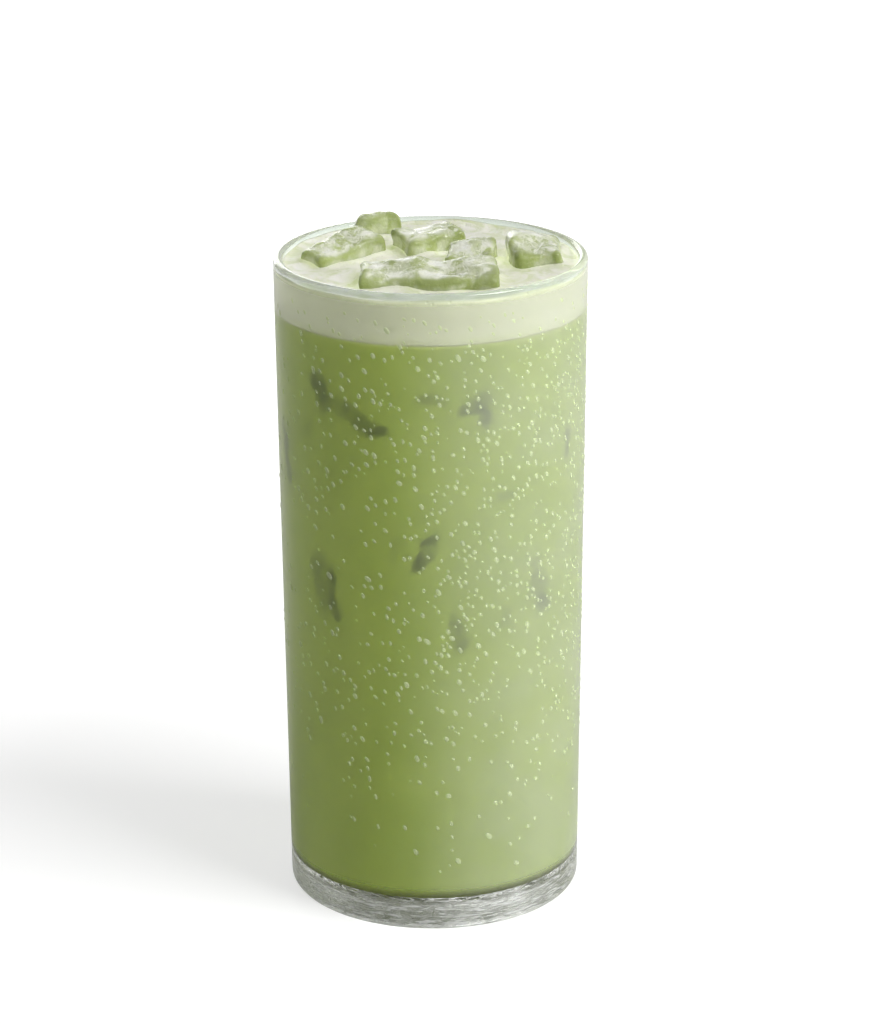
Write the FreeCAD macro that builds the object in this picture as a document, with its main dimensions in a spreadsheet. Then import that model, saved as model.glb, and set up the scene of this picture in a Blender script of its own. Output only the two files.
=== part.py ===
"""Iced matcha latte in a tall straight glass.

A heavy-based, slightly tapered glass holds the latte, a layer of foam lies on the latte, and six
blocks of ice float in both, their tops standing a little above the rim.
Millimetres, +Z up, origin at the centre of the circle that the glass stands on.
"""
import FreeCAD
import Part
import Sketcher

import math
import os

# name: value. Lengths in millimetres, angles in degrees.
GLASS_SIZES = {
    "glass_height": 154.0,
    "rim_radius": 36.0,        # outside, at the rim
    "foot_radius": 34.3,       # outside, where the wall's slope meets the table
    "wall": 2.2,
    "base_thickness": 7.2,
    "rim_round": 1.05,
    "foot_round": 2.4,
    "floor_round": 3.5,        # inside, between floor and wall
    "foot_ring": 4.9,          # the flat ring that it stands on, between the foot's round and the dish
    "dish_depth": 1.2,         # of the shallow dish under the base
}
DRINK_SIZES = {
    "foam_gap": 2.4,           # from the rim down to the foam at the wall
    "foam_depth": 9.8,
    "foam_crown": 1.1,         # how much higher the foam is at the centre
    "foam_ripple": 0.35,
    "ice_round": 1.5,
    "ice_gap": 0.65,           # from the wall to the circle that holds the ice
    "ice_layout_radius": 33.0,  # the radius of that circle that the ice lengths below refer to
}
# Each block tapers upwards. x, y and rise place the middle of its top: rise is above the foam at the
# wall. yaw, pitch and roll turn it about Z, then its own X and Y.
ICE_KEYS = ("x", "y", "rise", "length", "width", "height", "taper", "yaw", "pitch", "roll")
ICE_BLOCKS = {
    "left": (-20.0, 5.6, 3.4, 21.5, 9.5, 14.0, 0.8, 46.0, 15.0, -7.0),
    "back": (-12.0, 26.0, 4.8, 10.5, 5.6, 15.5, 0.6, 18.0, -3.0, 2.0),
    "middle": (-0.6, 12.6, 4.3, 16.5, 11.0, 15.0, 0.8, 25.0, 8.0, -4.0),
    "inner": (9.4, -0.6, 3.9, 11.5, 11.0, 15.0, 0.8, -5.0, 9.0, 0.0),
    "front": (-0.1, -17.2, 3.3, 33.0, 13.5, 17.0, 0.9, 0.0, 10.0, 0.0),
    "right": (24.3, 3.6, 4.0, 12.5, 17.5, 15.0, 0.9, 4.0, 6.0, 4.0),
}
FOAM_GRID = 15                 # points along each side of the net that shapes the foam's top

doc = FreeCAD.newDocument("iced_latte")


# ---------------------------------------------------------------- the sheet of sizes

def all_sizes():
    """Every size by its name, the blocks' included."""
    named = {**GLASS_SIZES, **DRINK_SIZES}
    for block, numbers in ICE_BLOCKS.items():
        named.update({f"{block}_{key}": number for key, number in zip(ICE_KEYS, numbers)})
    return named


def make_sheet():
    """The spreadsheet that every size comes from: a name, a value and its alias on each row."""
    made = doc.addObject("Spreadsheet::Sheet", "sizes")
    for row, (alias, number) in enumerate(all_sizes().items(), start=1):
        made.set(f"A{row}", alias)
        made.set(f"B{row}", str(number))
        made.setAlias(f"B{row}", alias)
    doc.recompute()
    return made


sheet = make_sheet()

FOAM_TOP = "(sizes.glass_height - sizes.foam_gap)"
FOAM_LINE = f"({FOAM_TOP} - sizes.foam_depth)"
FOAM_CREST = f"({FOAM_TOP} + sizes.foam_crown + 3 * sizes.foam_ripple)"
RIM = "sizes.glass_height"


def cavity(height):
    """The inside radius at a height, as an expression."""
    slope = "(sizes.rim_radius - sizes.foot_radius) / sizes.glass_height"
    return f"(sizes.foot_radius + {slope} * {height} - sizes.wall)"


ICE_SCALE = f"(({cavity(FOAM_LINE)} - sizes.ice_gap) / sizes.ice_layout_radius)"


def worth(expression):
    """The number that an expression on the sheet comes to."""
    for name in sorted(all_sizes(), key=len, reverse=True):
        expression = expression.replace(f"sizes.{name}", str(getattr(sheet, name)))
    return FreeCAD.Units.Quantity(expression).Value


# ---------------------------------------------------------------- sketches and features

def plane(body, role):
    """One of a body's own origin planes or axes."""
    return next(f for f in body.Origin.OriginFeatures if f.Role == role)


def half_section(body, name, corners):
    """A closed sketch on the XZ plane, beside the Z axis, through corners given as pairs of
    expressions: the radius and the height. The first and last corners lie on the axis."""
    sketch = body.newObject("Sketcher::SketchObject", name)
    sketch.AttachmentSupport = [(plane(body, "XZ_Plane"), "")]
    sketch.MapMode = "FlatFace"
    places = [FreeCAD.Vector(worth(r) if r else 0.0, worth(z) if z else 0.0, 0) for r, z in corners]
    for start, end in zip(places, places[1:] + places[:1]):
        sketch.addGeometry(Part.LineSegment(start, end), False)
    add_corners(sketch, corners)
    return sketch


def add_corners(sketch, corners):
    """Joins a sketch's lines end to end and binds each line's start to its two expressions."""
    origin, start, end = (-1, 1), 1, 2
    for i in range(len(corners)):
        following = (i + 1) % len(corners)
        sketch.addConstraint(Sketcher.Constraint("Coincident", i, end, following, start))
    for i, (radius, height) in enumerate(corners):
        for kind, align, value in (("DistanceX", "Vertical", radius),
                                   ("DistanceY", "Horizontal", height)):
            if not value:
                sketch.addConstraint(Sketcher.Constraint(align, *origin, i, start))
                continue
            made = sketch.addConstraint(Sketcher.Constraint(kind, *origin, i, start, worth(value)))
            sketch.renameConstraint(made, f"{kind}_{i}")
            sketch.setExpression(f"Constraints.{kind}_{i}", value)


def turned(body, kind, name, sketch):
    """A full turn of a sketch about the Z axis: a Revolution adds and a Groove cuts."""
    feature = body.newObject(f"PartDesign::{kind}", name)
    feature.Profile = sketch
    feature.ReferenceAxis = (plane(body, "Z_Axis"), [""])
    feature.Angle = 360.0
    doc.recompute()
    return feature


def circles(feature, height, radius):
    """The names of a feature's circular edges at a height and a radius."""
    close = 1e-3
    return [
        f"Edge{i}" for i, edge in enumerate(feature.Shape.Edges, start=1)
        if isinstance(edge.Curve, Part.Circle)
        and abs(edge.Curve.Center.z - height) < close and abs(edge.Curve.Radius - radius) < close
    ]


def rounded(body, name, base, edges, radius):
    """A fillet on some edges of the body's last feature."""
    fillet = body.newObject("PartDesign::Fillet", name)
    fillet.Base = (base, edges)
    fillet.setExpression("Radius", radius)
    doc.recompute()
    return fillet


# ---------------------------------------------------------------- the glass

DISH_RADIUS = "(sizes.foot_radius - sizes.foot_round - sizes.foot_ring)"
DISH_SPHERE = f"(({DISH_RADIUS} ^ 2 + sizes.dish_depth ^ 2) / (2 * sizes.dish_depth))"


def make_glass():
    """The glass: a turned cone, less its cavity and the shallow dish below, with rounded edges."""
    body = doc.addObject("PartDesign::Body", "glass")
    outside = half_section(body, "glass_outside", [
        ("", ""), ("sizes.foot_radius", ""), ("sizes.rim_radius", RIM), ("", RIM)])
    turned(body, "Revolution", "glass_blank", outside)
    inside = half_section(body, "glass_inside", [
        ("", "sizes.base_thickness"), (cavity("sizes.base_thickness"), "sizes.base_thickness"),
        (cavity(RIM), RIM), ("", RIM)])
    hollow = turned(body, "Groove", "glass_hollow", inside)
    rim = worth(RIM)
    rim_edges = circles(hollow, rim, sheet.rim_radius) + circles(hollow, rim, worth(cavity(RIM)))
    lip = rounded(body, "glass_lip", hollow, rim_edges, "min(sizes.rim_round; 0.48 * sizes.wall)")
    floor = sheet.base_thickness
    corner = circles(lip, floor, worth(cavity("sizes.base_thickness")))
    bowl = rounded(body, "glass_bowl", lip, corner, "sizes.floor_round")
    rounded(body, "glass_foot", bowl, circles(bowl, 0.0, sheet.foot_radius), "sizes.foot_round")
    dish = body.newObject("PartDesign::SubtractiveSphere", "glass_dish")
    dish.setExpression("Radius", DISH_SPHERE)
    dish.setExpression("Placement.Base.z", f"sizes.dish_depth - {DISH_SPHERE}")
    return body


# ---------------------------------------------------------------- the ice

def make_ice(name):
    """One block of ice: a tapered block with melted edges, turned to the way it floats."""
    body = doc.addObject("PartDesign::Body", f"ice_{name}")
    wedge = body.newObject("PartDesign::AdditiveWedge", f"{name}_block")
    size = {key: f"sizes.{name}_{key} * {ICE_SCALE}" for key in ICE_KEYS[:7]}
    for side, along in (("X", "length"), ("Z", "width")):
        for end, sign in (("min", "-"), ("max", "")):
            wedge.setExpression(f"{side}{end}", f"{sign}({size[along]}) / 2")
            wedge.setExpression(f"{side}2{end}", f"{sign}(({size[along]}) / 2 - {size['taper']})")
    wedge.setExpression("Ymin", f"-({size['height']})")
    wedge.setExpression("Ymax", "0")
    doc.recompute()
    melted = body.newObject("PartDesign::Fillet", f"{name}_melted")
    melted.Base = (wedge, [f"Edge{i + 1}" for i in range(len(wedge.Shape.Edges))])
    melted.setExpression("Radius", "sizes.ice_round")
    angles = [getattr(sheet, f"{name}_{key}") for key in ("yaw", "pitch", "roll")]
    body.Placement = FreeCAD.Placement(FreeCAD.Vector(), floating(*angles))
    body.setExpression("Placement.Base.x", size["x"])
    body.setExpression("Placement.Base.y", size["y"])
    body.setExpression("Placement.Base.z", f"{FOAM_TOP} + {size['rise']}")
    return body


def floating(yaw, pitch, roll):
    """The turn that takes a wedge, which tapers along +Y, to a block that tapers upwards."""
    x, y, z = FreeCAD.Vector(1, 0, 0), FreeCAD.Vector(0, 1, 0), FreeCAD.Vector(0, 0, 1)
    turn = FreeCAD.Rotation(z, yaw)
    for axis, angle in ((x, pitch), (y, roll), (x, 90.0)):
        turn = turn.multiply(FreeCAD.Rotation(axis, angle))
    return turn


def group(name, members):
    """Several pieces as one, for cutting with."""
    made = doc.addObject("Part::Compound", name)
    made.Links = members
    return made


def cut(name, label, base, tool):
    """base less tool, under the label that names its file."""
    made = doc.addObject("Part::Cut", name)
    made.Base, made.Tool = base, tool
    made.Label = label
    return made


# ---------------------------------------------------------------- the drink

def make_latte(ice):
    """The latte: it fills the glass from the floor up to the foam, round the ice."""
    body = doc.addObject("PartDesign::Body", "latte_fill")
    section = half_section(body, "latte_section", [
        ("", "sizes.base_thickness"), (cavity("sizes.base_thickness"), "sizes.base_thickness"),
        (cavity(FOAM_LINE), FOAM_LINE), ("", FOAM_LINE)])
    pool = turned(body, "Revolution", "latte_pool", section)
    corner = circles(pool, sheet.base_thickness, worth(cavity("sizes.base_thickness")))
    rounded(body, "latte_corner", pool, corner, "sizes.floor_round")
    return cut("latte_cut", "latte", body, ice)


def foam_height(x, y):
    """How high the foam's top is at a place: a low crown with soft folds that fade at the wall."""
    radius = worth(cavity(FOAM_TOP))
    out = min(math.hypot(x, y) / radius, 1.0)
    crown = sheet.foam_crown * (1 - out ** 2)
    turn = 2 * math.pi / radius
    folds = (math.sin(1.3 * turn * x + 0.9 * turn * y + 0.6)
             + math.sin(2.1 * turn * y - 0.8 * turn * x + 2.1)
             + 0.6 * math.sin(2.9 * turn * x + 1.7 * turn * y))
    return worth(FOAM_TOP) + crown + sheet.foam_ripple * folds * (1 - 0.6 * out ** 2)


def make_air():
    """The space above the foam: a smooth surface through a net of heights, drawn upwards."""
    reach = worth(cavity(RIM)) + sheet.wall
    step = 2 * reach / (FOAM_GRID - 1)
    net = [
        [FreeCAD.Vector(i * step - reach, j * step - reach,
                        foam_height(i * step - reach, j * step - reach)) for j in range(FOAM_GRID)]
        for i in range(FOAM_GRID)
    ]
    surface = Part.BSplineSurface()
    surface.interpolate(net)
    air = doc.addObject("Part::Feature", "foam_air")
    air.Shape = surface.toShape().extrude(FreeCAD.Vector(0, 0, sheet.glass_height / 4))
    return air


def make_foam(ice):
    """The foam: a thick disc on the latte, out to the wall, with a soft uneven top, round the ice."""
    body = doc.addObject("PartDesign::Body", "foam_fill")
    section = half_section(body, "foam_section", [
        ("", FOAM_LINE), (cavity(FOAM_LINE), FOAM_LINE), (cavity(FOAM_CREST), FOAM_CREST),
        ("", FOAM_CREST)])
    turned(body, "Revolution", "foam_disc", section)
    return cut("foam_cut", "foam", cut("foam_round_ice", "foam_round_ice", body, ice), make_air())


# ---------------------------------------------------------------- build, check and write

def check(pieces):
    """Stops the script if a feature failed or a piece is not a sound solid."""
    doc.recompute()
    failed = [o.Label for o in doc.Objects if {"Invalid", "Error"} & set(o.State)]
    unsound = [p.Label for p in pieces
               if p.Shape.isNull() or not p.Shape.isValid() or not p.Shape.Solids]
    if failed or unsound:
        raise SystemExit(f"failed features {failed}, unsound pieces {unsound}")


def main():
    blocks = [make_ice(name) for name in ICE_BLOCKS]
    ice = group("ice_all", blocks)
    pieces = [make_glass(), make_latte(ice), make_foam(ice), *blocks]
    check(pieces)
    os.makedirs("parts", exist_ok=True)
    for piece in pieces:
        piece.Shape.exportStep(f"parts/{piece.Label}.step")
        print(f"{piece.Label}: {len(piece.Shape.Solids)} solid, {piece.Shape.Volume:.0f} mm3")


main()
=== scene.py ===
"""Iced matcha latte in a tall straight glass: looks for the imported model.

The glass, the latte, the foam and the ice each take the place of their CAD solid, with finer shapes
and materials. Sizes are in millimetres until they reach a mesh; +Z is up and the viewer is at -Y.
"""

import math
import random

import bmesh
import bpy
import numpy as np
from mathutils import Euler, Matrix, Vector, noise
from mathutils.bvhtree import BVHTree


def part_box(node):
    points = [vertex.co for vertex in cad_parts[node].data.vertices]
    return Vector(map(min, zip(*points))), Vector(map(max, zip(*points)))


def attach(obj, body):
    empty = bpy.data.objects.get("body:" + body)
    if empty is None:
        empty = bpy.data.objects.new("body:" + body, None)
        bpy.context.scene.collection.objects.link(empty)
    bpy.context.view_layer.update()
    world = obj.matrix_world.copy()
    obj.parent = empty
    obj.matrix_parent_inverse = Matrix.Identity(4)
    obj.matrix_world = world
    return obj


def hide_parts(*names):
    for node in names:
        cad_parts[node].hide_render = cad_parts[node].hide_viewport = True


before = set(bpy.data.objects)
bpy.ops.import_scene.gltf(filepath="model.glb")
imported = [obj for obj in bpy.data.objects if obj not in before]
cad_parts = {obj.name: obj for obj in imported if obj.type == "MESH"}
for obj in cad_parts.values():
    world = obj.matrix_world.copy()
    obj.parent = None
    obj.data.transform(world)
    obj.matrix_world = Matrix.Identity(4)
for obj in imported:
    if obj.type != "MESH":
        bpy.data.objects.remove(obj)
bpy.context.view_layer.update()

MM = 0.001
noise.seed_set(4)


def corner(node, end):
    """The lowest (0) or highest (1) corner of a CAD node, in millimetres."""
    return [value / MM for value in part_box(node)[end]]


# ---------------------------------------------------------------- sizes, in millimetres

HEIGHT = corner("glass", 1)[2]
RIM = corner("glass", 1)[0]         # outside radius at the rim
FLOOR = corner("latte", 0)[2]       # top of the glass base
FOAM_LINE = corner("foam", 0)[2]    # where the foam meets the latte at the wall
FOOT = 34.3                         # outside radius that the wall's slope has at the table
WALL = 2.2
RIM_ROUND = 1.05
FOOT_ROUND = 2.4
FLOOR_ROUND = 3.5
FOOT_RING = 4.9
DISH_DEPTH = 1.2
FOAM_TOP = HEIGHT - 2.4             # foam level at the wall
FOAM_CROWN = 1.1
FOAM_RIPPLE = 0.35
BITE = 0.15                         # how far a filling reaches into what holds it
AROUND = 256                        # segments in a full turn
FOAM_AROUND = 360                   # and in the foam, which has finer shapes

BLOCKS = ("left", "back", "middle", "inner", "front", "right")


def outside(z):
    """The glass's outside radius at a height."""
    return FOOT + (RIM - FOOT) * z / HEIGHT


def inside(z):
    """The glass's inside radius at a height."""
    return outside(z) - WALL


# ---------------------------------------------------------------- mesh helpers

def smooth(mesh):
    """Shades a mesh's faces smooth."""
    for face in mesh.polygons:
        face.use_smooth = True


def add_piece(name, mesh, material):
    """A smooth mesh as an object in the scene, in one material."""
    piece = bpy.data.objects.new(name, mesh)
    bpy.context.collection.objects.link(piece)
    mesh.materials.clear()
    mesh.materials.append(material)
    smooth(mesh)
    return piece


def arc(centre, radius, start, stop, steps):
    """Points (radius, height) along an arc, its angles in degrees from outwards to up."""
    angles = np.radians(np.linspace(start, stop, steps))
    return [(centre[0] + radius * math.cos(a), centre[1] + radius * math.sin(a)) for a in angles]


def line(start, end, steps):
    """Points along a line, without its two ends."""
    return [tuple(np.array(start) + (np.array(end) - start) * i / steps) for i in range(1, steps)]


def lathe(name, outline, around=AROUND):
    """A turned mesh. The outline runs from axis to axis as (radius, height) in millimetres."""
    angles = np.linspace(0, 2 * math.pi, around, endpoint=False)
    rings = np.array(outline[1:-1])
    ring_points = np.stack([
        rings[:, :1] * np.cos(angles), rings[:, :1] * np.sin(angles),
        np.repeat(rings[:, 1:], around, axis=1)], axis=2).reshape(-1, 3)
    ends = [(0, 0, outline[0][1]), (0, 0, outline[-1][1])]
    points = np.concatenate([ring_points, ends]) * MM
    first, last, count = len(ring_points), len(ring_points) + 1, len(rings)
    faces = []
    for j in range(around):
        k = (j + 1) % around
        faces.append((first, k, j))
        faces.append((last, (count - 1) * around + j, (count - 1) * around + k))
        for i in range(count - 1):
            a, b = i * around, (i + 1) * around
            faces.append((a + j, a + k, b + k, b + j))
    mesh = bpy.data.meshes.new(name)
    mesh.from_pydata(points.tolist(), [], faces)
    mesh.update()
    return mesh


def baked(piece):
    """The mesh of an object with its modifiers applied, in place of the object's own."""
    graph = bpy.context.evaluated_depsgraph_get()
    mesh = bpy.data.meshes.new_from_object(piece.evaluated_get(graph))
    piece.modifiers.clear()
    piece.data = mesh
    return mesh


def coords(mesh):
    """A mesh's points as an array, in metres."""
    points = np.empty(len(mesh.vertices) * 3)
    mesh.vertices.foreach_get("co", points)
    return points.reshape(-1, 3)


def set_coords(mesh, points):
    """Moves a mesh's points."""
    mesh.vertices.foreach_set("co", np.asarray(points).ravel())
    mesh.update()


def point_value(mesh, name, values):
    """Stores a number on every point, for a material to read."""
    mesh.attributes.new(name, "FLOAT", "POINT").data.foreach_set("value", np.asarray(values, float))


def carve(piece, cutters):
    """Cuts other meshes out of a piece."""
    for cutter in cutters:
        cut = piece.modifiers.new("carve", "BOOLEAN")
        cut.operation, cut.solver, cut.object = "DIFFERENCE", "EXACT", cutter
    bpy.context.view_layer.update()
    return baked(piece)


# ---------------------------------------------------------------- material helpers

class Nodes:
    """Short calls for building a node material."""

    def __init__(self, name):
        self.material = bpy.data.materials.new(name)
        self.material.use_nodes = True
        self.tree = self.material.node_tree
        self.tree.nodes.clear()
        self.output = self.tree.nodes.new("ShaderNodeOutputMaterial")
        self.place = self.new("ShaderNodeTexCoord").outputs["Object"]

    def new(self, kind, **settings):
        """A node, with properties by name and inputs by their label in `inputs`."""
        node = self.tree.nodes.new(kind)
        inputs = settings.pop("inputs", {})
        for key, value in settings.items():
            setattr(node, key, value)
        for key, value in inputs.items():
            self.feed(node.inputs[key], value)
        return node

    def feed(self, socket, value):
        """Links or sets an input."""
        if isinstance(value, bpy.types.NodeSocket):
            self.tree.links.new(value, socket)
        else:
            socket.default_value = value

    def noise(self, size, detail=3.0, roughness=0.5, distortion=0.0, stretch=None):
        """Noise with features about `size` millimetres across, from 0 to 1."""
        where = self.place
        if stretch:
            mapping = self.new("ShaderNodeMapping", inputs={"Vector": where, "Scale": stretch})
            where = mapping.outputs[0]
        return self.new("ShaderNodeTexNoise", inputs={
            "Vector": where, "Scale": 1 / (size * MM), "Detail": detail, "Roughness": roughness,
            "Distortion": distortion}).outputs["Fac"]

    def streaks(self, length, width):
        """Noise drawn out round the axis: rings on a flat, hoops on a wall, from 0 to 1."""
        parts = self.new("ShaderNodeSeparateXYZ", inputs={"Vector": self.place}).outputs
        out = self.math("SQRT", self.math("ADD", self.math("POWER", parts["X"], 2.0),
                                          self.math("POWER", parts["Y"], 2.0)))
        climb = self.math("MULTIPLY", self.math("ADD", parts["Z"], out), length / width)
        where = self.new("ShaderNodeCombineXYZ", inputs={
            "X": parts["X"], "Y": parts["Y"], "Z": climb}).outputs["Vector"]
        return self.new("ShaderNodeTexNoise", inputs={
            "Vector": where, "Scale": 1 / (length * MM), "Detail": 3.0, "Roughness": 0.6,
            "Distortion": 0.3}).outputs["Fac"]

    def cells(self, size):
        """Distance in a cell pattern with cells about `size` millimetres across."""
        return self.new("ShaderNodeTexVoronoi", inputs={
            "Vector": self.place, "Scale": 1 / (size * MM)}).outputs["Distance"]

    def ramp(self, value, low, high, to_low=0.0, to_high=1.0):
        """A smooth step of a number from one range to another."""
        return self.new("ShaderNodeMapRange", interpolation_type="SMOOTHSTEP", inputs={
            "Value": value, "From Min": low, "From Max": high, "To Min": to_low, "To Max": to_high,
        }).outputs["Result"]

    def math(self, operation, a, b=0.0, clamp=False):
        """Two numbers put together."""
        node = self.new("ShaderNodeMath", operation=operation, use_clamp=clamp)
        self.feed(node.inputs[0], a)
        self.feed(node.inputs[1], b)
        return node.outputs[0]

    def blend(self, factor, a, b):
        """Colour a turning to colour b."""
        node = self.new("ShaderNodeMix", data_type="RGBA")
        self.feed(node.inputs["Factor"], factor)
        self.feed(node.inputs[6], a)
        self.feed(node.inputs[7], b)
        return node.outputs[2]

    def stored(self, name):
        """A number stored on the mesh."""
        return self.new("ShaderNodeAttribute", attribute_name=name).outputs["Fac"]

    def axis(self, letter):
        """A coordinate in metres."""
        return self.new("ShaderNodeSeparateXYZ", inputs={"Vector": self.place}).outputs[letter]

    def bump(self, height, depth):
        """A bump of `depth` millimetres."""
        return self.new("ShaderNodeBump", inputs={
            "Height": height, "Distance": depth * MM, "Strength": 1.0}).outputs["Normal"]

    def surface(self, **inputs):
        """A Principled shader with inputs named with underscores for spaces."""
        return self.new("ShaderNodeBsdfPrincipled",
                        inputs={key.replace("_", " "): value for key, value in inputs.items()})

    def finish(self, shader):
        """Sets the material's surface."""
        self.feed(self.output.inputs["Surface"], shader.outputs[0])
        return self.material

    def finish_clear(self, shader, shade):
        """Sets the surface of something clear, which lets the lamps through in a soft tint."""
        light = self.new("ShaderNodeLightPath").outputs["Is Shadow Ray"]
        through = self.new("ShaderNodeBsdfTransparent", inputs={"Color": shade})
        mixed = self.new("ShaderNodeMixShader", inputs={0: light, 1: shader.outputs[0],
                                                        2: through.outputs[0]})
        return self.finish(mixed)


def rgb(text):
    """A colour written as sRGB hex, as linear numbers."""
    parts = [int(text[i:i + 2], 16) / 255 for i in (0, 2, 4)]
    linear = [p / 12.92 if p <= 0.04045 else ((p + 0.055) / 1.055) ** 2.4 for p in parts]
    return (*linear, 1.0)


# ---------------------------------------------------------------- the glass

MIST_SHADED_SIDE, MIST_LIT_SIDE = 0.03, 0.3   # how much of the wall's surface is fogged: least away from the key light and most towards it, where the extra fog is painted light
LIT_HAZE_TURN = 75                      # degrees from the viewer towards +X to the thickest mist, turned near the key light so that it paints the lit side's haze
MIST_START, MIST_FULL = 7.0, 12.0   # heights between which the mist comes in above the base
LIP_CLOUD = 0.25                    # how cloudy the rim is
STREAK_LENGTH, STREAK_WIDTH = 4.5, 0.42     # the silvery lines in the base, which are painted reflections, and its ripples
GLASS_CLEAR = (0.97, 0.98, 0.97, 1)
GLASS_LIP_SHADE = (0.68, 0.74, 0.68, 1)   # the rim, tinted darker all round: painted shade for the dark look of glass seen edge on
GLASS_SHADE = (0.95, 0.96, 0.95, 1)     # the lamps' light that comes through it
GLASS_IOR = 1.42                    # real glass is about 1.52


def glass_material():
    """Clear glass, fogged by condensation on the wall. The fog is made thicker on the side towards
    the key light, as painted light for that light's haze. The rim is a little cloudy and tinted
    darker as painted shade, and the base is rippled and streaked with silver as painted reflections
    of what its pressed rings refract."""
    n = Nodes("clear_glass")
    z = n.axis("Z")
    above = n.ramp(z, MIST_START * MM, MIST_FULL * MM)
    below = n.ramp(z, (FOAM_TOP + 1.5) * MM, (FOAM_TOP - 1.0) * MM)
    wall = n.math("MULTIPLY", above, below)
    # Painted light: the mist thickens towards the key light, whitening the lit side as that light's
    # haze would.
    turn = math.radians(LIT_HAZE_TURN)
    across = n.math("MULTIPLY", n.axis("X"), math.sin(turn) / (RIM * MM))
    along = n.math("MULTIPLY", n.axis("Y"), -math.cos(turn) / (RIM * MM))
    side = n.ramp(n.math("ADD", across, along), -0.17, 0.87, MIST_SHADED_SIDE, MIST_LIT_SIDE)
    cloud = n.ramp(n.noise(14.0, 4.0, 0.6), 0.25, 0.75, 0.8, 1.1)
    mist_and_lit_haze = n.math("MULTIPLY", n.math("MULTIPLY", wall, cloud), side)
    shine = n.ramp(wall, 0.0, 1.0, 0.01, 0.3)
    base = n.ramp(z, (FLOOR + 0.6) * MM, (FLOOR - 0.6) * MM)
    # Painted reflection: silvery streaks in the base stand in for the surroundings that its pressed
    # rings refract. The same streaks ripple its surface.
    streaks = n.streaks(STREAK_LENGTH, STREAK_WIDTH)
    silver_reflections = n.math("MULTIPLY", base, n.ramp(streaks, 0.5, 0.62, 0.0, 0.75))
    ripple = n.math("MULTIPLY", base, streaks)
    # Painted shade: the band above the foam is tinted darker, and clouded so that the dark tint
    # shows.
    lip = n.ramp(z, (FOAM_TOP + 0.2) * MM, (FOAM_TOP + 1.2) * MM)
    tint = n.blend(lip, GLASS_CLEAR, GLASS_LIP_SHADE)
    cloudy = n.math("ADD", n.math("ADD", mist_and_lit_haze, silver_reflections), n.math("MULTIPLY", lip, LIP_CLOUD))
    shader = n.surface(Base_Color=tint, Roughness=shine, IOR=GLASS_IOR,
                       Transmission_Weight=n.math("SUBTRACT", 1.0, cloudy),
                       Normal=n.bump(ripple, 0.45))
    return n.finish_clear(shader, GLASS_SHADE)


def glass_outline():
    """The glass's section: dish, foot, wall, rim, cavity and floor."""
    ring = FOOT - FOOT_ROUND - FOOT_RING
    sphere = (ring ** 2 + DISH_DEPTH ** 2) / (2 * DISH_DEPTH)
    dish = [(r, DISH_DEPTH - sphere + math.sqrt(sphere ** 2 - r ** 2))
            for r in np.linspace(0, ring, 70)]
    lean = math.degrees(math.atan((RIM - FOOT) / HEIGHT))
    foot = arc((outside(FOOT_ROUND) - FOOT_ROUND, FOOT_ROUND), FOOT_ROUND, -90, -lean, 14)
    lip_z = HEIGHT - RIM_ROUND
    outer_lip = arc((outside(lip_z) - RIM_ROUND, lip_z), RIM_ROUND, 0, 90, 12)
    inner_lip = arc((inside(lip_z) + RIM_ROUND, lip_z), RIM_ROUND, 90, 180, 12)
    corner_z = FLOOR + FLOOR_ROUND
    bowl = arc((inside(corner_z) - FLOOR_ROUND, corner_z), FLOOR_ROUND, 0, -90, 18)
    return (dish + line(dish[-1], foot[0], 12) + foot + line(foot[-1], outer_lip[0], 60)
            + outer_lip + inner_lip + line(inner_lip[-1], bowl[0], 60) + bowl
            + line(bowl[-1], (0, FLOOR), 14) + [(0, FLOOR)])


def pressed(x, y):
    """How far the underside of the base is pressed up at a place, in millimetres: uneven rings."""
    out, turn = math.hypot(x, y), math.atan2(y, x)
    rings = noise.noise(Vector((out / 1.3, 2.2 * math.cos(turn), 2.2 * math.sin(turn))))
    chips = noise.noise(Vector((x, y, 0)) / 2.6)
    return 0.22 * abs(rings) + 0.12 * abs(chips)


def make_glass():
    """The glass itself."""
    mesh = lathe("highball_glass", glass_outline())
    points = coords(mesh)
    for point in points:
        x, y, z = point / MM
        if z < DISH_DEPTH * 1.2 and math.hypot(x, y) < FOOT - FOOT_ROUND:
            point[2] += pressed(x, y) * MM
    set_coords(mesh, points)
    glass = add_piece("highball_glass", mesh, glass_material())
    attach(glass, "root")
    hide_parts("glass")
    return glass


# ---------------------------------------------------------------- the ice

ICE_PALE, ICE_DEEP = rgb("e0e5c6"), rgb("b6c283")
ICE_EDGE, ICE_FILM = rgb("a5b26e"), rgb("eceee0")
ICE_SHADE = (0.86, 0.9, 0.74, 1)    # the lamps' light that comes through it
ICE_VOXEL = 0.4                     # the size of the remeshed ice's grid
ICE_HELD = 0.08                     # how far the foam and the latte reach into the ice


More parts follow.
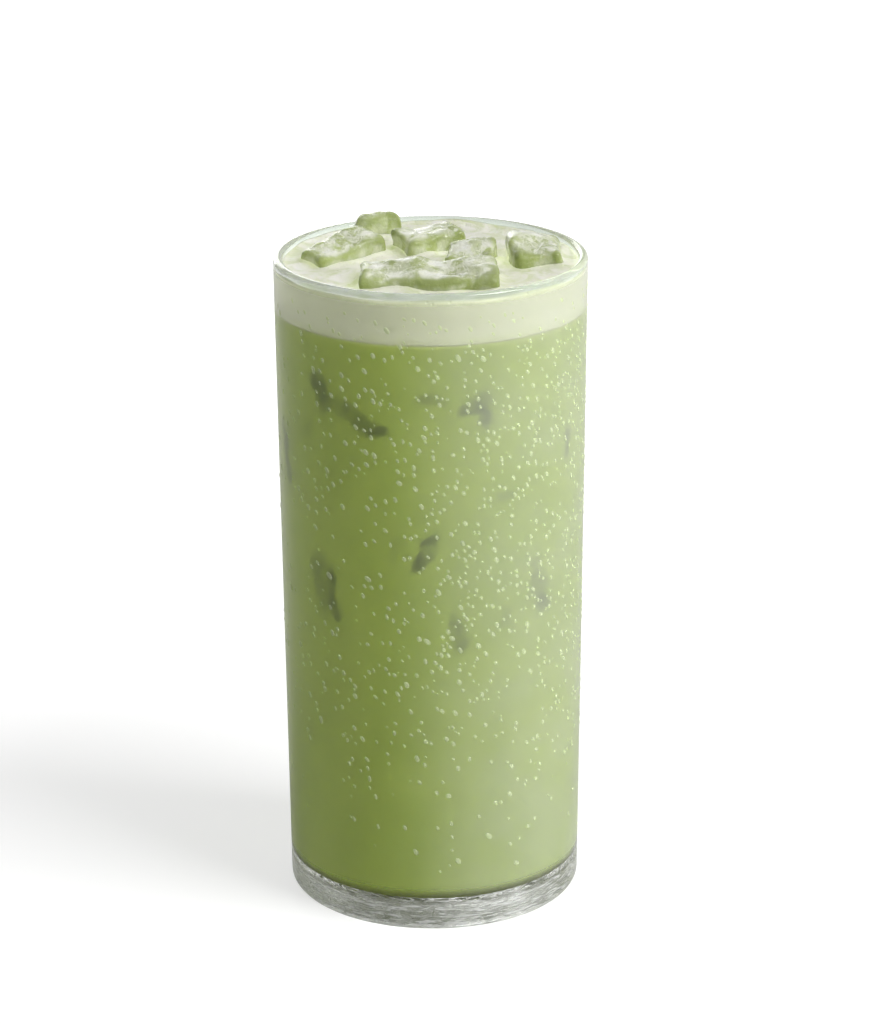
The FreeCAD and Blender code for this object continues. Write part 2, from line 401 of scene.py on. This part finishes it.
def ice_material():
    """Wet melting ice: green from the drink, with pale streaks and a film of foam, more on top."""
    n = Nodes("wet_ice")
    streaks = n.ramp(n.noise(2.2, 5.0, 0.7, 1.6, (1.0, 0.4, 1.4)), 0.5, 0.6)
    veil = n.ramp(n.noise(5.0, 3.0, 0.6, 0.5), 0.42, 0.62)
    facing = n.new("ShaderNodeNewGeometry").outputs["Normal"]
    up = n.new("ShaderNodeSeparateXYZ", inputs={"Vector": facing}).outputs["Z"]
    up = n.ramp(up, 0.55, 0.95)
    film = n.math("MULTIPLY", n.ramp(up, 0.0, 1.0, 0.35, 1.0),
                  n.math("MAXIMUM", n.math("MULTIPLY", streaks, 0.8), veil))
    edge = n.stored("edge")
    film = n.math("MULTIPLY", film, n.math("SUBTRACT", 1.0, n.math("MULTIPLY", edge, 0.85)))
    depth = n.ramp(n.noise(3.4, 3.0, 0.6, 0.8, (1.0, 1.0, 0.6)), 0.42, 0.6)
    tint = n.blend(depth, ICE_PALE, ICE_DEEP)
    tint = n.blend(edge, tint, ICE_EDGE)
    colour = n.blend(film, tint, ICE_FILM)
    clearness = n.ramp(film, 0.0, 1.0, 0.34, 0.03)
    relief = n.math("ADD", n.noise(1.6, 3.0), n.math("MULTIPLY", n.noise(0.35, 2.0), 0.15))
    shader = n.surface(Base_Color=colour, Roughness=n.ramp(film, 0.0, 1.0, 0.04, 0.22), IOR=1.31,
                       Subsurface_Weight=0.4, Subsurface_Radius=(1.0, 1.0, 0.7),
                       Subsurface_Scale=0.004, Transmission_Weight=clearness,
                       Normal=n.bump(relief, 0.4))
    return n.finish_clear(shader, ICE_SHADE)


def convexity(mesh, rounds=12):
    """How sharply each point stands out from its neighbours, 0 on a flat and 1 on an edge."""
    edges = np.array([e.vertices[:] for e in mesh.edges])
    points = coords(mesh)
    normals = np.array([v.normal[:] for v in mesh.vertices])
    degree = np.bincount(edges.ravel(), minlength=len(points)).astype(float)[:, None]

    def average(values):
        total = np.zeros_like(values)
        np.add.at(total, edges[:, 0], values[edges[:, 1]])
        np.add.at(total, edges[:, 1], values[edges[:, 0]])
        return total / degree

    height = ((points - average(points)) * normals).sum(1, keepdims=True) / MM
    for _ in range(rounds):
        height = 0.5 * height + 0.5 * average(height)
    return np.clip((height[:, 0] - 0.003) / 0.02, 0, 1)


def melt(points, normals, seed):
    """Moves points as melting does: broad hollows, small dimples and a bend all blocks share."""
    shift = Vector((seed * 3.7, seed * 1.9, 0))
    out = []
    for point, normal in zip(points, normals):
        place = Vector(point) / MM
        broad = noise.noise(place / 7.0 + shift) * 0.6
        small = noise.noise(place / 2.2 + shift) * 0.22
        bend = np.array(noise.noise_vector(place / 8.0)) * 1.5
        out.append(point + (normal * (broad + small + 0.12) + bend) * MM)
    return np.array(out)


def make_ice(material):
    """The blocks of ice: each CAD block remeshed fine and melted."""
    blocks = []
    for seed, name in enumerate(BLOCKS):
        node = f"ice_{name}"
        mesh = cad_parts[node].data.copy()
        piece = add_piece(f"ice_block_{name}", mesh, material)
        remesh = piece.modifiers.new("remesh", "REMESH")
        remesh.mode, remesh.voxel_size = "VOXEL", ICE_VOXEL * MM
        mesh = baked(piece)
        normals = np.array([v.normal[:] for v in mesh.vertices])
        set_coords(mesh, melt(coords(mesh), normals, seed))
        point_value(mesh, "edge", convexity(mesh))
        smooth(mesh)
        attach(piece, "root")
        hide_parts(node)
        blocks.append(piece)
    return blocks


def shrunk(piece, by):
    """A cutter: a copy of a piece with its skin moved inwards, in millimetres."""
    mesh = piece.data.copy()
    normals = np.array([v.normal[:] for v in mesh.vertices])
    set_coords(mesh, coords(mesh) - normals * by * MM)
    cutter = bpy.data.objects.new("cutter", mesh)
    bpy.context.collection.objects.link(cutter)
    return cutter


# ---------------------------------------------------------------- the latte

LATTE_DEEP, LATTE_PALE = rgb("889936"), rgb("8f9f3e")
LATTE_LOW, LATTE_ICE = rgb("839532"), rgb("4b571a")
LATTE_HEEL_SHADE = rgb("56601f")          # painted shade round the bottom edge
FOAM_SIDE = rgb("a6ad78")           # what the top of the latte's side fades towards

# Sunken ice that touches the wall and shows as a soft dark patch: the angle round the glass from
# the front, the height, the patch's width and height, its lean in degrees, and how strongly it
# shows.
SUNKEN = (
    # in front
    (-46, 128.5, 3.2, 8.5, 30, 0.9), (-32, 124.5, 3.6, 12.0, 60, 0.8),
    (-21, 122.0, 2.6, 5.0, 60, 1.0), (-56, 119.0, 4.5, 3.0, 20, 0.45),
    (0, 129.0, 6.5, 2.6, -20, 0.5), (17, 128.0, 2.8, 8.0, -60, 0.8),
    (20, 125.0, 3.0, 6.0, 5, 0.9), (-72, 110.5, 2.8, 14.0, 16, 1.0),
    (62, 113.5, 2.2, 9.0, 0, 1.0), (30, 105.5, 4.5, 2.2, 0, 0.5),
    (-3, 93.0, 3.0, 10.0, -24, 1.0), (-14, 94.0, 3.0, 8.0, -20, 0.3),
    (-48, 82.0, 5.0, 15.0, 10, 0.6), (-42, 80.5, 2.8, 12.0, 8, 1.0),
    (45, 82.5, 4.4, 13.0, 10, 0.55), (48, 77.5, 4.4, 5.0, -30, 1.0),
    (10, 73.0, 3.2, 10.5, 6, 0.7), (29, 76.5, 2.6, 4.5, 0, 0.4),
    # round the back
    (100, 96, 5.0, 14.0, 10, 0.9), (128, 122, 4.0, 9.0, -20, 0.8),
    (150, 70, 5.0, 13.0, 15, 0.9), (178, 108, 4.0, 12.0, -10, 0.8),
    (-150, 84, 5.0, 9.0, 25, 0.9), (-122, 118, 4.0, 11.0, -12, 0.9),
    (-105, 64, 4.0, 12.0, 8, 0.7), (-168, 128, 6.0, 4.0, 5, 0.8),
    (85, 60, 3.5, 9.0, -18, 0.6),
)


def sunken_ice(points):
    """How strongly sunken ice shows at each point of the latte's side, from 0 to 1."""
    angle = np.degrees(np.arctan2(points[:, 0], -points[:, 1]))
    height = points[:, 2] / MM
    total = np.zeros(len(points))
    warp = np.array([noise.noise_vector(Vector(p) / MM / 4.0)[:2] for p in points])
    patchy = np.array([0.75 + 0.5 * noise.noise(Vector(p) / MM / 1.9) for p in points])
    for turn, level, wide, tall, lean, strength in SUNKEN:
        across = (angle - turn + 180) % 360 - 180
        u = np.radians(across) * inside(level) + warp[:, 0] * 1.8
        v = height - level + warp[:, 1] * 1.8
        c, s = math.cos(math.radians(lean)), math.sin(math.radians(lean))
        a, b = np.abs(c * u + s * v) / (wide / 2), np.abs(c * v - s * u) / (tall / 2)
        reach = (a ** 2.5 + b ** 2.5) ** 0.4
        fade = np.clip((1.25 - reach) / 0.45, 0, 1)
        total = np.maximum(total, strength * fade * fade * (3 - 2 * fade))
    return np.clip(total * patchy, 0, 1)


def latte_material():
    """Milky green tea: opaque, a little uneven, darker where ice lies against the wall."""
    n = Nodes("matcha_latte")
    swirl = n.ramp(n.noise(16.0, 3.0, 0.5, 0.8, (1.0, 1.0, 0.6)), 0.3, 0.7)
    body = n.blend(swirl, LATTE_DEEP, LATTE_PALE)
    low = n.ramp(n.axis("Z"), 60 * MM, 10 * MM)
    body = n.blend(n.math("MULTIPLY", low, 0.35), body, LATTE_LOW)
    colour = n.blend(n.stored("sunken"), body, LATTE_ICE)
    # Painted shade: darker round the latte's bottom edge, where it meets the glass floor.
    heel_shade = n.ramp(n.axis("Z"), (FLOOR + 3.0) * MM, (FLOOR + 0.6) * MM)
    colour = n.blend(heel_shade, colour, LATTE_HEEL_SHADE)
    line_glow = n.ramp(n.axis("Z"), (FOAM_LINE - 1.2) * MM, (FOAM_LINE + 0.2) * MM, 0.0, 0.35)
    colour = n.blend(line_glow, colour, FOAM_SIDE)
    shader = n.surface(Base_Color=colour, Roughness=0.35, IOR=1.35, Subsurface_Weight=0.25,
                       Subsurface_Radius=(0.6, 0.8, 0.25), Subsurface_Scale=0.004,
                       Specular_IOR_Level=0.0)
    return n.finish(shader)


def make_latte(cutters):
    """The latte, just into the wall and round the ice."""
    corner_z = FLOOR + FLOOR_ROUND
    bowl = arc((inside(corner_z) - FLOOR_ROUND, corner_z), FLOOR_ROUND + BITE, -90, 0, 16)
    top = (inside(FOAM_LINE) + BITE, FOAM_LINE)
    outline = ([(0, FLOOR - BITE)] + line((0, FLOOR - BITE), bowl[0], 12) + bowl
               + line(bowl[-1], top, 150) + [top] + line(top, (0, FOAM_LINE), 8) + [(0, FOAM_LINE)])
    latte = add_piece("latte_body", lathe("latte_body", outline), latte_material())
    mesh = carve(latte, cutters)
    point_value(mesh, "sunken", sunken_ice(coords(mesh)))
    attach(latte, "root")
    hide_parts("latte")
    return latte


# ---------------------------------------------------------------- the foam

FOAM_WHITE, FOAM_GREEN = rgb("efeee4"), rgb("cdd3ac")          # its top
FOAM_SIDE_SHADE_LOW, FOAM_SIDE_SHADE_TOP = rgb("a9b07e"), rgb("b9bc9e")         # its side, through the glass: painted shade, darker than its top and darkest low down
SETTLED = 1.1                       # how far the foam has sunk below the CAD crown
HEAPED = 1.2                        # how far it stands up at the far wall
WALL_CLIMB, ICE_CLIMB = 0.45, 0.7   # how far it is drawn up at the wall and at the ice


def foam_material():
    """Fine milk foam: cream white, green where the tea shows through, with pinhole bubbles."""
    n = Nodes("milk_foam")
    broad = n.ramp(n.noise(9.0, 4.0, 0.55, 1.5), 0.40, 0.66)
    fine = n.ramp(n.noise(2.4, 4.0, 0.6, 0.8), 0.40, 0.70)
    green = n.math("ADD", n.math("MULTIPLY", broad, 0.75), n.math("MULTIPLY", fine, 0.35),
                   clamp=True)
    green = n.math("MAXIMUM", green, n.math("MULTIPLY", n.stored("near_ice"), 0.5))
    top = n.blend(green, FOAM_WHITE, FOAM_GREEN)
    # Painted shade: the side, seen through the glass, is coloured darker than the top, most of all
    # low down.
    z = n.math("ADD", n.axis("Z"), n.math("MULTIPLY", n.noise(5.0, 3.0), 2.4 * MM))
    side = n.ramp(z, (FOAM_LINE + 0.6) * MM, (FOAM_LINE + 4.0) * MM)
    colour = n.blend(n.stored("side"), top, n.blend(side, FOAM_SIDE_SHADE_LOW, FOAM_SIDE_SHADE_TOP))
    pits = n.ramp(n.cells(0.55), 0.0, 0.35)
    beads = n.ramp(n.cells(1.7), 0.0, 0.3)
    relief = n.math("ADD", n.math("MULTIPLY", pits, 0.35), n.math("MULTIPLY", beads, 0.65))
    shader = n.surface(Base_Color=colour, Roughness=0.5, IOR=1.35, Subsurface_Weight=0.35,
                       Subsurface_Radius=(0.9, 1.0, 0.6), Subsurface_Scale=0.003,
                       Normal=n.bump(relief, 0.18))
    return n.finish(shader)


def foam_height(x, y):
    """The foam's top: the CAD solid's low crown and folds, in millimetres."""
    radius = inside(FOAM_TOP)
    out = min(math.hypot(x, y) / radius, 1.0)
    turn = 2 * math.pi / radius
    folds = (math.sin(1.3 * turn * x + 0.9 * turn * y + 0.6)
             + math.sin(2.1 * turn * y - 0.8 * turn * x + 2.1)
             + 0.6 * math.sin(2.9 * turn * x + 1.7 * turn * y))
    return FOAM_TOP + FOAM_CROWN * (1 - out ** 2) + FOAM_RIPPLE * folds * (1 - 0.6 * out ** 2)


def foam_lumps(x, y):
    """Small lumps and creases in the foam, in millimetres."""
    place = Vector((x, y, 0))
    swell = noise.noise(place / 4.5) * 0.25
    crease = noise.noise(place / 2.4 + Vector((7, 3, 1)))
    return swell + 0.08 * (1 - abs(crease) * 2)


def skin_tree(pieces):
    """One search tree over the skins of several pieces."""
    points, faces = [], []
    for piece in pieces:
        start = len(points)
        points += [v.co.copy() for v in piece.data.vertices]
        faces += [[start + i for i in face.vertices] for face in piece.data.polygons]
    return BVHTree.FromPolygons(points, faces)


def make_foam(ice, cutters):
    """The foam, just into the wall: the CAD crown settled in the middle and heaped at the far wall,
    and drawn up a little at the wall and round the ice."""
    edge = inside(FOAM_TOP) + BITE
    top = [(r, FOAM_TOP) for r in np.linspace(edge, 0, 110)]
    foot = (inside(FOAM_LINE) + BITE, FOAM_LINE)
    outline = ([(0, FOAM_LINE)] + line((0, FOAM_LINE), foot, 8) + [foot]
               + line(foot, top[0], 24) + top)
    mesh = lathe("foam_body", outline, FOAM_AROUND)
    tree = skin_tree(ice)
    points = coords(mesh)
    for i, (x, y, z) in enumerate(points / MM):
        if z < FOAM_TOP - 1e-3:
            continue
        out = math.hypot(x, y)
        height = foam_height(x, y) + foam_lumps(x, y) * min(1, (edge - out) / 3 + 0.25)
        height -= SETTLED * (1 - (out / edge) ** 4)
        height += HEAPED * max(0.0, y / edge) * (out / edge) ** 3
        height += WALL_CLIMB * math.exp((out - edge) / 0.8)
        away = tree.find_nearest(Vector((x, y, height)) * MM)[3] / MM
        points[i, 2] = (height + ICE_CLIMB * math.exp(-away / 0.9)) * MM
    set_coords(mesh, points)
    foam = add_piece("foam_body", mesh, foam_material())
    mesh = carve(foam, cutters)
    points = coords(mesh)
    radii = np.hypot(points[:, 0], points[:, 1]) / MM
    near = [math.exp(-tree.find_nearest(Vector(p))[3] / MM / 1.4) for p in points]
    point_value(mesh, "near_ice", near)
    point_value(mesh, "side", np.clip((radii - edge + 0.35) / 0.3, 0, 1))
    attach(foam, "root")
    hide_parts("foam")
    return foam


# ---------------------------------------------------------------- condensation

BEADS = 1750
BEAD_TURN = 48                      # degrees from the viewer towards +X to where most beads are
BEAD_SIZE, BEAD_SPREAD = 0.32, 0.09     # the usual radius, and how much it differs
BEAD_SMALL, BEAD_LARGE = 0.16, 0.6
BEAD_LEAN, LEAN_SPREAD = -33, 10    # degrees from upright
WATER_SHADE = (0.95, 0.96, 0.94, 1)     # the lamps' light that comes through a bead


def water_material():
    """Beads of condensation: water given a pale, partly diffuse colour, a painted highlight for the
    light each bead catches.
    """
    n = Nodes("condensation")
    shader = n.surface(Base_Color=(0.78, 0.84, 0.6, 1), Roughness=0.3, IOR=1.33,
                       Transmission_Weight=0.6)
    return n.finish_clear(shader, WATER_SHADE)


def bead_places(draw):
    """Where beads of water sit: (turn, height, radius), apart from each other, in loose drifts."""
    cell = 2.0
    taken, beads = {}, []
    while len(beads) < BEADS:
        turn, z = draw.uniform(-math.pi, math.pi), draw.uniform(14, FOAM_TOP - 3)
        drift = noise.noise(Vector((math.sin(turn) * 1.6, math.cos(turn) * 1.6, z / 26)))
        fogged = 0.45 + 0.55 * math.cos(turn - math.radians(BEAD_TURN))
        high = min(1.0, max(0.1, (z - 25) / 45)) * min(1.0, max(0.25, (FOAM_TOP + 4 - z) / 18))
        if draw.random() > fogged * high * (0.8 + 0.5 * drift):
            continue
        size = min(BEAD_LARGE, max(BEAD_SMALL, draw.gauss(BEAD_SIZE, BEAD_SPREAD)))
        spot = (int(turn * RIM // cell), int(z // cell))
        near = [b for i in (-1, 0, 1) for j in (-1, 0, 1)
                for b in taken.get((spot[0] + i, spot[1] + j), ())]
        if any(math.hypot((turn - b[0]) * RIM, z - b[1]) < 1.6 * (size + b[2]) for b in near):
            continue
        taken.setdefault(spot, []).append((turn, z, size))
        beads.append((turn, z, size))
    return beads


def make_drops():
    """Beads of water on the outside of the wall, each a low dome that leans a little."""
    draw = random.Random(11)
    dome = bmesh.new()
    bmesh.ops.create_icosphere(dome, subdivisions=2, radius=1.0)
    base = np.array([v.co[:] for v in dome.verts])
    faces = [[v.index for v in f.verts] for f in dome.faces]
    dome.free()
    base[:, 2] = np.where(base[:, 2] < 0, base[:, 2] * 0.3, base[:, 2])
    points, polys = [], []
    up = Vector((0, 0, 1))
    for turn, z, size in bead_places(draw):
        tall = size * draw.uniform(1.35, 1.9)
        lean = math.radians(draw.gauss(BEAD_LEAN, LEAN_SPREAD))
        out = Vector((math.sin(turn), -math.cos(turn), 0))
        side = Vector((math.cos(turn), math.sin(turn), 0))
        long_way = up * math.cos(lean) + side * math.sin(lean)
        short_way = side * math.cos(lean) - up * math.sin(lean)
        centre = out * outside(z) + up * z
        start = len(points)
        for x, y, h in base:
            points.append((centre + short_way * x * size + long_way * y * tall
                           + out * h * size * 0.3) * MM)
        polys += [[start + i for i in face] for face in faces]
    mesh = bpy.data.meshes.new("condensation_drops")
    mesh.from_pydata(points, [], polys)
    drops = add_piece("condensation_drops", mesh, water_material())
    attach(drops, "root")
    return drops


# ---------------------------------------------------------------- floor, light and camera

WHITE = (1, 1, 1, 1)
AMBIENT = 0.1                       # how strongly the surroundings light the glass
LENS, SENSOR = 127.6, 36.0
VIEW_FROM = (0.00054, -0.803, 0.365)        # in metres
VIEW_DOWN, VIEW_ROLL = 18.80, -0.37         # in degrees


def floor_material():
    """A plain table that takes shadows. To the viewer it also glows, so that it looks white and
    fades into the white background away from the glass."""
    n = Nodes("pale_floor")
    table = n.surface(Base_Color=(0.5, 0.5, 0.5, 1), Roughness=0.7)
    path = n.new("ShaderNodeLightPath").outputs
    seen = n.math("MAXIMUM", n.math("MULTIPLY", path["Is Glossy Ray"], 0.4),
                  n.math("MAXIMUM", path["Is Camera Ray"], path["Is Transmission Ray"]))
    away = n.new("ShaderNodeVectorMath", operation="LENGTH",
                 inputs={0: n.place}).outputs["Value"]
    share = n.math("MULTIPLY", seen, n.ramp(away, 0.05, 0.5, 0.62, 1.0))
    glow = n.new("ShaderNodeEmission", inputs={"Color": WHITE, "Strength": share})
    return n.finish(n.new("ShaderNodeAddShader", inputs={0: table.outputs[0], 1: glow.outputs[0]}))


def make_floor():
    """A wide table top under the glass."""
    grid = bmesh.new()
    bmesh.ops.create_grid(grid, x_segments=8, y_segments=8, size=6.0)
    mesh = bpy.data.meshes.new("studio_floor")
    grid.to_mesh(mesh)
    grid.free()
    add_piece("studio_floor", mesh, floor_material())


def make_world():
    """White to look at, but with little light of its own."""
    world = bpy.data.worlds.new("studio")
    bpy.context.scene.world = world
    world.use_nodes = True
    tree = world.node_tree
    tree.nodes.clear()
    path = tree.nodes.new("ShaderNodeLightPath")
    seen = path.outputs["Is Camera Ray"]
    for name in ("Is Glossy Ray", "Is Transmission Ray"):
        both = tree.nodes.new("ShaderNodeMath")
        both.operation = "MAXIMUM"
        tree.links.new(seen, both.inputs[0])
        tree.links.new(path.outputs[name], both.inputs[1])
        seen = both.outputs[0]
    light, white = (tree.nodes.new("ShaderNodeBackground") for _ in range(2))
    light.inputs["Color"].default_value = white.inputs["Color"].default_value = WHITE
    light.inputs["Strength"].default_value = AMBIENT
    white.inputs["Strength"].default_value = 1.0
    mixed, output = tree.nodes.new("ShaderNodeMixShader"), tree.nodes.new("ShaderNodeOutputWorld")
    tree.links.new(seen, mixed.inputs[0])
    tree.links.new(light.outputs[0], mixed.inputs[1])
    tree.links.new(white.outputs[0], mixed.inputs[2])
    tree.links.new(mixed.outputs[0], output.inputs["Surface"])


def lamp(name, turn, lift, away, size, power):
    """A square lamp aimed at the middle of the glass. Its turn from the viewer towards +X and its
    lift are in degrees, its distance and size in metres and its power in watts."""
    data = bpy.data.lights.new(name, "AREA")
    data.shape, data.size, data.energy = "SQUARE", size, power
    made = bpy.data.objects.new(name, data)
    bpy.context.collection.objects.link(made)
    turn, lift = math.radians(turn), math.radians(lift)
    aim = Vector((0, 0, HEIGHT * MM * 0.5))
    toward = Vector((math.sin(turn) * math.cos(lift), -math.cos(turn) * math.cos(lift),
                     math.sin(lift)))
    made.location = aim + toward * away
    made.rotation_euler = (-toward).to_track_quat("-Z", "Y").to_euler()


def make_camera():
    """The viewer: a long lens in front of the glass, looking down on it."""
    data = bpy.data.cameras.new("viewer")
    data.sensor_width, data.lens = SENSOR, LENS
    data.clip_start = 0.01
    camera = bpy.data.objects.new("viewer", data)
    bpy.context.collection.objects.link(camera)
    camera.location = VIEW_FROM
    aim, tilt = (Euler((math.radians(90 - VIEW_DOWN), 0, 0)),
                 Euler((0, 0, math.radians(VIEW_ROLL))))
    camera.rotation_euler = (aim.to_matrix() @ tilt.to_matrix()).to_euler()
    bpy.context.scene.camera = camera


# ---------------------------------------------------------------- all of it

make_glass()
ice_blocks = make_ice(ice_material())
ice_cutters = [shrunk(block, ICE_HELD) for block in ice_blocks]
make_latte(ice_cutters)
make_foam(ice_blocks, ice_cutters)
for used in ice_cutters:
    bpy.data.objects.remove(used)
make_drops()

make_floor()
make_world()
lamp("key_light", turn=60, lift=46, away=1.9, size=0.9, power=35.0)
lamp("back_light", turn=195, lift=12, away=1.4, size=0.7, power=4.0)
make_camera()
bpy.context.scene.view_settings.view_transform = "Standard"
